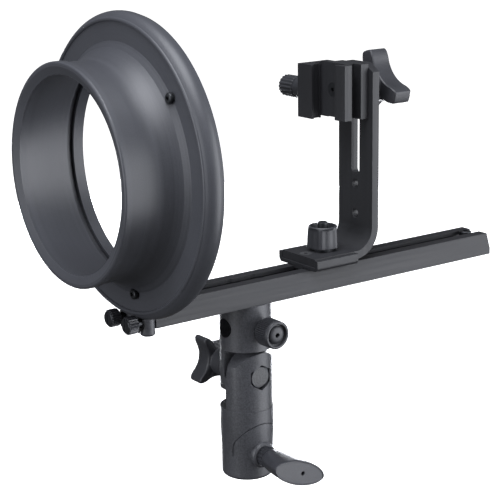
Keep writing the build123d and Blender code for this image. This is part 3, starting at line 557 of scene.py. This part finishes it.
def placed(origin, facing):
    """Takes a piece made along +Z to its origin, facing its own way."""
    across, along = (Vector(axis) for axis in facing)
    turn = Matrix((across, along.cross(across), along)).transposed().to_4x4()
    return Matrix.Translation(origin) @ turn


def turned(x, y, turn):
    """The point (x, y) turned about the middle."""
    return (
        x * math.cos(turn) - y * math.sin(turn),
        x * math.sin(turn) + y * math.cos(turn),
    )


def ring(radius):
    """A round outline."""
    return lambda angle: (radius * math.cos(angle), radius * math.sin(angle))


def hole_beside(radius, shift, turn):
    """A round outline whose centre lies beside the middle."""
    return lambda angle: turned(
        radius * math.cos(angle) + shift, radius * math.sin(angle), turn
    )


def leaf(half_width, half_thickness, turn):
    """An oval drawn out to blunt points at its two ends."""
    fullness = 0.12

    def outline(angle):
        rise = math.sin(angle)
        x = half_width * math.cos(angle)
        y = half_thickness * rise * abs(rise) ** fullness
        return turned(x, y, turn)

    return outline


def polar(radius_at):
    """An outline from a function that gives the radius at an angle."""
    return lambda angle: (radius_at(angle) * math.cos(angle), radius_at(angle) * math.sin(angle))


def fluted(radius, depth, count, first=0, sharpness=1.0):
    """Flutes cut into a cylinder; a greater sharpness leaves narrower ribs between them."""

    def radius_at(angle):
        wave = (1 + math.cos(count * (angle - first))) / 2
        return radius - depth * (1 - wave ** sharpness)

    return polar(radius_at)


def scalloped(tip_radius, scallop_radius, scallop_centre, lobes, first, inset):
    """Lobes left between round scallops, with their tips rounded and all of it set in."""

    def cut(angle):
        found = tip_radius
        for number in range(lobes):
            away = angle - first - (number + 0.5) * FULL_TURN / lobes
            reach = scallop_radius ** 2 - (scallop_centre * math.sin(away)) ** 2
            if reach > 0 and math.cos(away) > 0:
                found = min(found, scallop_centre * math.cos(away) - math.sqrt(reach))
        return found

    def radius_at(angle):
        near = [cut(angle + math.radians(step)) for step in (-4, -2, 0, 2, 4)]
        return sum(near) / len(near) - inset

    return polar(radius_at)


def drawn(stations, steps):
    """A closed skin drawn through outlines at heights, both in millimetres."""
    bm = bmesh.new()
    turn = bm.verts.layers.float.new("turn")
    bmesh.ops.create_circle(bm, cap_ends=True, radius=1, segments=steps)
    for vert in bm.verts:
        vert[turn] = math.atan2(vert.co.y, vert.co.x)
    bm.faces.ensure_lookup_table()
    top = bm.faces[0]
    for number, (height, outline) in enumerate(stations):
        if number:
            below = top
            made = bmesh.ops.extrude_face_region(bm, geom=[below])
            top = next(f for f in made["geom"] if isinstance(f, bmesh.types.BMFace))
            # the first face closes the bottom; a later one would be left inside the skin
            if number > 1 and below.is_valid:
                bmesh.ops.delete(bm, geom=[below], context="FACES_ONLY")
        for vert in top.verts:
            vert.co = Vector((*outline(vert[turn]), height)) * MM
    return bm


def ease(bm, width):
    """Rounds every edge that turns a sharp corner."""
    sharp = [
        edge
        for edge in bm.edges
        if len(edge.link_faces) == 2 and edge.calc_face_angle(0) > SHARP_CORNER
    ]
    bmesh.ops.bevel(
        bm,
        geom=sharp,
        offset=width,
        offset_type="OFFSET",
        segments=EDGE_SEGMENTS,
        profile=0.5,
        affect="EDGES",
        clamp_overlap=True,
        material=-1,
    )


def add_piece(name, bm, node, finish, replaced=()):
    """Makes a piece that rides with a CAD node's body, and hides the nodes it replaces."""
    mesh = bpy.data.meshes.new(name)
    bm.to_mesh(mesh)
    bm.free()
    mesh.shade_smooth()
    mesh.set_sharp_from_angle(angle=SMOOTH_BELOW)
    mesh.materials.append(finish_of(finish))
    piece = bpy.data.objects.new(name, mesh)
    bpy.context.collection.objects.link(piece)
    even = piece.modifiers.new("even shading", "WEIGHTED_NORMAL")
    even.keep_sharp = True
    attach(piece, BODY_OF[node])
    if replaced:
        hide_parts(*replaced)
    return piece


def turned_piece(name, stations, origin, facing, node, finish, replaced=(), steps=96):
    """A piece drawn through stations along the way it faces."""
    bm = drawn(stations, steps)
    bmesh.ops.transform(bm, matrix=placed(origin, facing), verts=bm.verts)
    bmesh.ops.recalc_face_normals(bm, faces=bm.faces)
    return add_piece(name, bm, node, finish, replaced)


def eased_copy(node, width):
    """A CAD node's own shape with its sharp edges broken."""
    bm = bmesh.new()
    bm.from_mesh(frame["nodes"][node].data)
    bmesh.ops.remove_doubles(bm, verts=bm.verts, dist=SAME_PLACE)
    bmesh.ops.dissolve_limit(bm, angle_limit=FLAT_WITHIN, verts=bm.verts, edges=bm.edges)
    ease(bm, width)
    return add_piece(f"{node}_skin", bm, node, NODE_FINISHES[node], [node])


class SWIVEL_OT_break_edges(bpy.types.Operator):
    """Break the edges of the castings, the rail, the plates and the clamp"""

    bl_idname = "swivel.break_edges"
    bl_label = "Break the Edges"

    def execute(self, context):
        details = context.scene.bracket_details
        for node in ("lower_casting", "upper_casting", "rail_end_block"):
            eased_copy(node, details.cast_edge)
        for node in ("rail", "ring_bracket", "carriage", "l_bracket"):
            eased_copy(node, details.edge)
        clamp_edge = details.edge * 0.8
        for node in ("shoe_base", "shoe_back_plate", "shoe_jaw"):
            eased_copy(node, clamp_edge)
        return {"FINISHED"}


class SWIVEL_OT_form_lever(bpy.types.Operator):
    """Form the lever that locks the stand's spigot, and the dome on its boss"""

    bl_idname = "swivel.form_lever"
    bl_label = "Form the Lever"

    def execute(self, context):
        low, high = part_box("stand_lock_lever")
        screw = middle_of("stand_lock_screw")
        length = (high.x - low.x) / MM
        self.paddle((low.x, screw.y, screw.z), length, context.scene.bracket_details.lever_turn)
        dome_depth = 3.1 * MM
        self.boss_dome((low.x - dome_depth, screw.y, screw.z))
        return {"FINISHED"}

    def paddle(self, origin, length, turn):
        teeth = fluted(6.0, 0.85, 18, sharpness=0.8)
        dish = length - 0.45
        hole_shift = 2.5
        stations = [
            (0, ring(5.0)),
            (0.5, teeth),
            (5.6, teeth),
            (6.0, ring(5.3)),
            (6.5, leaf(7.4, 5.8, turn)),
            (8.5, leaf(9.3, 6.15, turn)),
            (13, leaf(12.0, 6.45, turn)),
            (18, leaf(14.4, 6.65, turn)),
            (24, leaf(16.7, 6.8, turn)),
            (length - 3.4, leaf(17.9, 6.9, turn)),
            (length - 1.2, leaf(18.4, 7.05, turn)),
            (length - 0.3, leaf(18.3, 6.95, turn)),
            (length, leaf(17.9, 6.65, turn)),
            (length, leaf(17.5, 6.3, turn)),
            (dish, leaf(17.1, 6.0, turn)),
            (dish, hole_beside(1.3, hole_shift, turn)),
            (dish - 0.3, hole_beside(1.1, hole_shift, turn)),
            (length - 3.2, hole_beside(1.1, hole_shift, turn)),
        ]
        node = "stand_lock_lever"
        turned_piece(
            "lever_paddle", stations, origin, RIGHT, node, "lever_paint", [node], steps=144
        )

    def boss_dome(self, origin):
        stations = [
            (0, ring(7.2)),
            (0.6, ring(7.62)),
            (1.5, ring(7.5)),
            (2.3, ring(6.9)),
            (2.7, ring(6.1)),
            (2.6, ring(5.2)),
            (1.9, ring(4.4)),
            (0.8, ring(4.2)),
        ]
        turned_piece("lock_boss_dome", stations, origin, RIGHT, "lower_casting", "coat")


class SWIVEL_OT_turn_knobs(bpy.types.Operator):
    """Mould and turn the knobs"""

    bl_idname = "swivel.turn_knobs"
    bl_label = "Turn the Knobs"

    def execute(self, context):
        self.tilt_knob()
        self.umbrella_knob(context.scene.bracket_details.knurl_teeth)
        self.wing_knob()
        self.foot_knob()
        self.foot_stud()
        self.jaw_knob()
        return {"FINISHED"}

    def tilt_knob(self):
        node = "tilt_knob"
        low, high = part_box(node)
        bolt = middle_of("tilt_bolt")
        depth = (high.x - low.x) / MM
        star_thickness = 11.5
        inner = depth - star_thickness
        first_lobe = math.radians(54)

        def star(inset):
            return scalloped(18.5, 15.8, 25.3, 4, first_lobe, inset)

        stations = [
            (0, ring(7.5)),
            (0.5, ring(8.0)),
            (inner - 0.8, ring(8.0)),
            (inner - 0.2, ring(8.3)),
            (inner, star(1.6)),
            (inner + 0.5, star(0.6)),
            (inner + 1.4, star(0)),
            (depth - 1.6, star(0)),
            (depth - 0.6, star(0.5)),
            (depth, star(1.7)),
            (depth, ring(6.3)),
            (depth - 0.8, ring(5.9)),
            (depth - 0.8, ring(0.5)),
        ]
        origin = (high.x, bolt.y, bolt.z)
        turned_piece("tilt_star", stations, origin, LEFT, node, "knob_plastic", [node], steps=192)

    def umbrella_knob(self, teeth):
        node = "umbrella_lock_knob"
        low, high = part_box(node)
        centre = middle_of(node)
        length = (high.x - low.x) / MM
        knurl = fluted(8.0, 0.75, teeth, sharpness=0.8)
        points_per_tooth = 6
        stations = [
            (0, ring(6.9)),
            (0.4, ring(7.2)),
            (0.9, knurl),
            (length - 2.6, knurl),
            (length - 2.3, ring(7.3)),
            (length - 1.9, ring(7.35)),
            (length - 1.6, ring(7.85)),
            (length - 0.6, ring(7.85)),
            (length - 0.1, ring(7.45)),
            (length, ring(7.0)),
            (length - 0.1, ring(6.4)),
            (length - 1.7, ring(6.1)),
            (length - 2.0, ring(5.6)),
            (length - 1.9, ring(5.2)),
            (length - 1.1, ring(4.9)),
            (length - 0.5, ring(3.9)),
            (length - 0.25, ring(2.7)),
            (length - 0.2, ring(1.45)),
            (length - 0.5, ring(1.15)),
            (length - 3.5, ring(1.1)),
        ]
        origin = (low.x, centre.y, centre.z)
        steps = teeth * points_per_tooth
        turned_piece(
            "umbrella_knob", stations, origin, RIGHT, node, "knob_plastic", [node], steps=steps
        )

    def wing_knob(self):
        node = "height_knob"
        low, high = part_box(node)
        bolt = middle_of("height_bolt")
        depth = (high.y - low.y) / MM
        wing_thickness = 12.5
        first_wing = math.radians(105)

        def wings(inset):
            return scalloped(20.5, 23.8, 32.6, 3, first_wing, inset)

        stations = [
            (0, ring(6.2)),
            (0, wings(1.5)),
            (0.3, wings(0.6)),
            (1.0, wings(0)),
            (wing_thickness - 1.1, wings(0)),
            (wing_thickness - 0.35, wings(0.5)),
            (wing_thickness, wings(1.3)),
            (wing_thickness, ring(8.4)),
            (wing_thickness + 0.6, ring(7.8)),
            (depth - 0.6, ring(7.6)),
            (depth, ring(7.0)),
        ]
        origin = (bolt.x, high.y, bolt.z)
        turned_piece("wing_knob", stations, origin, FRONT, node, "knob_plastic", [node], steps=192)

    def foot_knob(self):
        node = "carriage_knob"
        low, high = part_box(node)
        bolt = middle_of("carriage_bolt")
        height = (high.z - low.z) / MM
        rib_count = 5
        first_rib = math.radians(-47)

        def ribs(radius, depth):
            return fluted(radius, depth, rib_count, first_rib, sharpness=3)

        stations = [
            (0, ribs(8.7, 0.9)),
            (0.5, ribs(9.3, 1.25)),
            (height * 0.45, ribs(9.1, 1.25)),
            (height - 2.2, ribs(8.8, 1.1)),
            (height - 1.3, ribs(8.6, 0.6)),
            (height - 0.5, ring(8.35)),
            (height, ring(7.8)),
            (height - 0.1, ring(7.2)),
            (height - 0.7, ring(6.8)),
            (height - 3.4, ring(6.5)),
            (height - 3.4, ring(4.4)),
        ]
        origin = (bolt.x, bolt.y, low.z)
        turned_piece("foot_knob", stations, origin, UP, node, "knob_plastic", [node], steps=144)

    def foot_stud(self):
        node = "carriage_bolt"
        low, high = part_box(node)
        bolt = middle_of(node)
        tip = (high.z - low.z) / MM
        stations = [
            (0, ring(2.4)),
            (0.6, ring(3.0)),
            (tip - 0.9, ring(3.0)),
            (tip - 0.3, ring(2.7)),
            (tip, ring(2.0)),
        ]
        origin = (bolt.x, bolt.y, low.z)
        turned_piece("foot_stud", stations, origin, UP, node, "black_screw", [node], steps=48)

    def jaw_knob(self):
        node = "jaw_knob"
        low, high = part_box(node)
        centre = middle_of(node)
        length = (high.x - low.x) / MM
        head_length = 12
        neck = length - head_length
        flute_count = 18
        flutes = fluted(6.45, 0.5, flute_count, sharpness=0.7)
        stations = [
            (0, ring(5.3)),
            (0.6, ring(5.9)),
            (neck - 1.3, ring(5.9)),
            (neck - 0.9, ring(5.2)),
            (neck - 0.2, ring(5.2)),
            (neck, ring(5.9)),
            (neck + 0.5, flutes),
            (length - 0.9, flutes),
            (length - 0.3, fluted(5.9, 0.3, flute_count)),
            (length, ring(5.2)),
            (length, ring(4.5)),
            (length - 0.5, ring(4.2)),
        ]
        origin = (high.x, centre.y, centre.z)
        turned_piece(
            "jaw_knob_skin", stations, origin, LEFT, node, "knob_plastic", [node], steps=180
        )


class SWIVEL_OT_dress_screws(bpy.types.Operator):
    """Knurl the ring's two thumb screws and face the head of the tilt bolt"""

    bl_idname = "swivel.dress_screws"
    bl_label = "Dress the Screws"

    def execute(self, context):
        for side in ("left", "right"):
            self.ring_thumb_screw(f"ring_thumb_screw_{side}")
        self.bolt_face()
        return {"FINISHED"}

    def ring_thumb_screw(self, node):
        eased_copy(node, 0.15 * MM)
        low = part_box(node)[0]
        centre = middle_of(node)
        band_depth = 6.6 * MM
        knurl = fluted(4.85, 0.6, 20, sharpness=0.8)
        stations = [(0.3, ring(4.1)), (0.8, knurl), (5.7, knurl), (6.2, ring(4.1))]
        origin = (centre.x, low.y + band_depth, centre.z)
        turned_piece(f"{node}_knurl", stations, origin, FRONT, node, "lever_paint", steps=160)

    def bolt_face(self):
        node = "tilt_bolt"
        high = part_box(node)[1]
        centre = middle_of(node)
        face_depth = 0.6 * MM
        stations = [(0, ring(5.7)), (0.5, ring(5.65)), (0.62, ring(5.4)), (0.62, ring(0.5))]
        origin = (high.x - face_depth, centre.y, centre.z)
        turned_piece("bolt_face", stations, origin, RIGHT, node, "rough_steel", steps=64)


# ---- studio

LIGHT_COLOUR = (0.925, 0.945, 1.0)
LIGHTS_AIM = Vector((0, 0, 0.13))
SENSOR_WIDTH = 36
FLOOR_HALF = 20
FLOOR_DROP = 0.16
FLOOR_GLOW = 1.05
WHITE = (1, 1, 1, 1)
# name, share of the key light's power, place, width and height
LIGHTS = (
    ("key", 1.0, (0.95, 0.80, 0.10), (1.2, 1.3)),
    ("top", 0.86, (0.25, -0.25, 1.25), (0.9, 0.9)),
    ("front", 0.80, (0.15, -1.7, 0.35), (0.9, 1.1)),
    ("back", 1.0, (-1.0, 1.1, -0.3), (1.1, 0.4)),
    ("far", 0.80, (-1.4, 0.5, -0.2), (0.8, 0.6)),
)


class SWIVEL_OT_light_stage(bpy.types.Operator):
    """Set up the floor, the lights and the camera"""

    bl_idname = "swivel.light_stage"
    bl_label = "Light the Stage"

    def execute(self, context):
        studio = context.scene.bracket_studio
        self.set_camera(context, studio)
        for name, share, spot, size in LIGHTS:
            self.hang_light(name, studio.key_power * share, spot, size)
        self.lay_floor()
        self.set_sky(context, studio.fill)
        context.scene.view_settings.view_transform = "Standard"
        return {"FINISHED"}

    def set_camera(self, context, studio):
        """Stands the camera at its place, looking along its heading and pitch."""
        camera = bpy.data.objects.new("camera", bpy.data.cameras.new("camera"))
        context.collection.objects.link(camera)
        camera.data.lens = studio.lens
        camera.data.sensor_width = SENSOR_WIDTH
        back = Vector(
            (
                math.sin(studio.heading) * math.cos(studio.pitch),
                -math.cos(studio.heading) * math.cos(studio.pitch),
                math.sin(studio.pitch),
            )
        )
        level = Vector((math.cos(studio.heading), math.sin(studio.heading), 0))
        upright = back.cross(level)
        right = level * math.cos(studio.roll) + upright * math.sin(studio.roll)
        up = upright * math.cos(studio.roll) - level * math.sin(studio.roll)
        turn = Matrix((right, up, back)).transposed().to_4x4()
        camera.matrix_world = Matrix.Translation(studio.position) @ turn
        context.scene.camera = camera

    def hang_light(self, name, power, spot, size):
        """Hangs a soft rectangular light that faces the bracket."""
        light = bpy.data.lights.new(name, "AREA")
        light.shape = "RECTANGLE"
        light.size, light.size_y = size
        light.energy = power
        light.color = LIGHT_COLOUR
        hung = bpy.data.objects.new(name, light)
        bpy.context.collection.objects.link(hung)
        hung.location = spot
        aim = LIGHTS_AIM - Vector(spot)
        hung.rotation_euler = aim.to_track_quat("-Z", "Y").to_euler()

    def lay_floor(self):
        """Lays plain pale paper under the bracket."""
        bm = bmesh.new()
        bmesh.ops.create_grid(bm, x_segments=1, y_segments=1, size=FLOOR_HALF)
        mesh = bpy.data.meshes.new("floor")
        bm.to_mesh(mesh)
        bm.free()
        floor = bpy.data.objects.new("floor", mesh)
        floor.location.z = CAD_BOX[0][2] - FLOOR_DROP
        # the paper is seen, and doesn't light the bracket from below
        floor.visible_diffuse = False
        floor.visible_glossy = False
        bpy.context.collection.objects.link(floor)
        f = Finish("floor_paper")
        fibres = f.noise(f.place(), 9.0, 3.0)
        paper = f.close(
            Base_Color=f.blend(fibres, (0.93, 0.93, 0.93), (0.95, 0.95, 0.95)),
            Roughness=0.9,
            Emission_Color=WHITE,
            Emission_Strength=FLOOR_GLOW,
        )
        mesh.materials.append(paper)

    def set_sky(self, context, fill):
        """Surrounds the bracket with even light, on a white background."""
        world = bpy.data.worlds.new("studio")
        world.use_nodes = True
        tree = world.node_tree
        around = tree.nodes["Background"]
        around.inputs["Strength"].default_value = fill
        around.inputs["Color"].default_value = WHITE
        behind = tree.nodes.new("ShaderNodeBackground")
        behind.inputs["Strength"].default_value = 1
        behind.inputs["Color"].default_value = WHITE
        seen = tree.nodes.new("ShaderNodeLightPath")
        mix = tree.nodes.new("ShaderNodeMixShader")
        tree.links.new(seen.outputs["Is Camera Ray"], mix.inputs[0])
        tree.links.new(around.outputs[0], mix.inputs[1])
        tree.links.new(behind.outputs[0], mix.inputs[2])
        tree.links.new(mix.outputs[0], tree.nodes["World Output"].inputs["Surface"])
        context.scene.world = world


STEPS = (
    SWIVEL_OT_light_stage,
    SWIVEL_OT_coat_parts,
    SWIVEL_OT_break_edges,
    SWIVEL_OT_form_lever,
    SWIVEL_OT_turn_knobs,
    SWIVEL_OT_dress_screws,
)


class SWIVEL_PT_bracket(bpy.types.Panel):
    """The bracket's sizes, colours and steps"""

    bl_idname = "SWIVEL_PT_bracket"
    bl_label = "Umbrella Swivel Bracket"
    bl_space_type = "VIEW_3D"
    bl_region_type = "UI"
    bl_category = "Bracket"

    def draw(self, context):
        for group in (
            context.scene.bracket_finishes,
            context.scene.bracket_details,
            context.scene.bracket_studio,
        ):
            for name in group.bl_rna.properties.keys():
                if name not in ("rna_type", "name"):
                    self.layout.prop(group, name)
        for step in STEPS:
            self.layout.operator(step.bl_idname)


GROUPS = {
    "bracket_finishes": BracketFinishes,
    "bracket_details": BracketDetails,
    "bracket_studio": BracketStudio,
}


def register():
    for name, group in GROUPS.items():
        bpy.utils.register_class(group)
        setattr(bpy.types.Scene, name, PointerProperty(type=group))
    for step in STEPS:
        bpy.utils.register_class(step)
    bpy.utils.register_class(SWIVEL_PT_bracket)


def unregister():
    bpy.utils.unregister_class(SWIVEL_PT_bracket)
    for step in reversed(STEPS):
        bpy.utils.unregister_class(step)
    for name, group in GROUPS.items():
        delattr(bpy.types.Scene, name)
        bpy.utils.unregister_class(group)


def main():
    register()
    for step in STEPS:
        family, action = step.bl_idname.split(".")
        getattr(getattr(bpy.ops, family), action)()


if __name__ == "__main__":
    main()
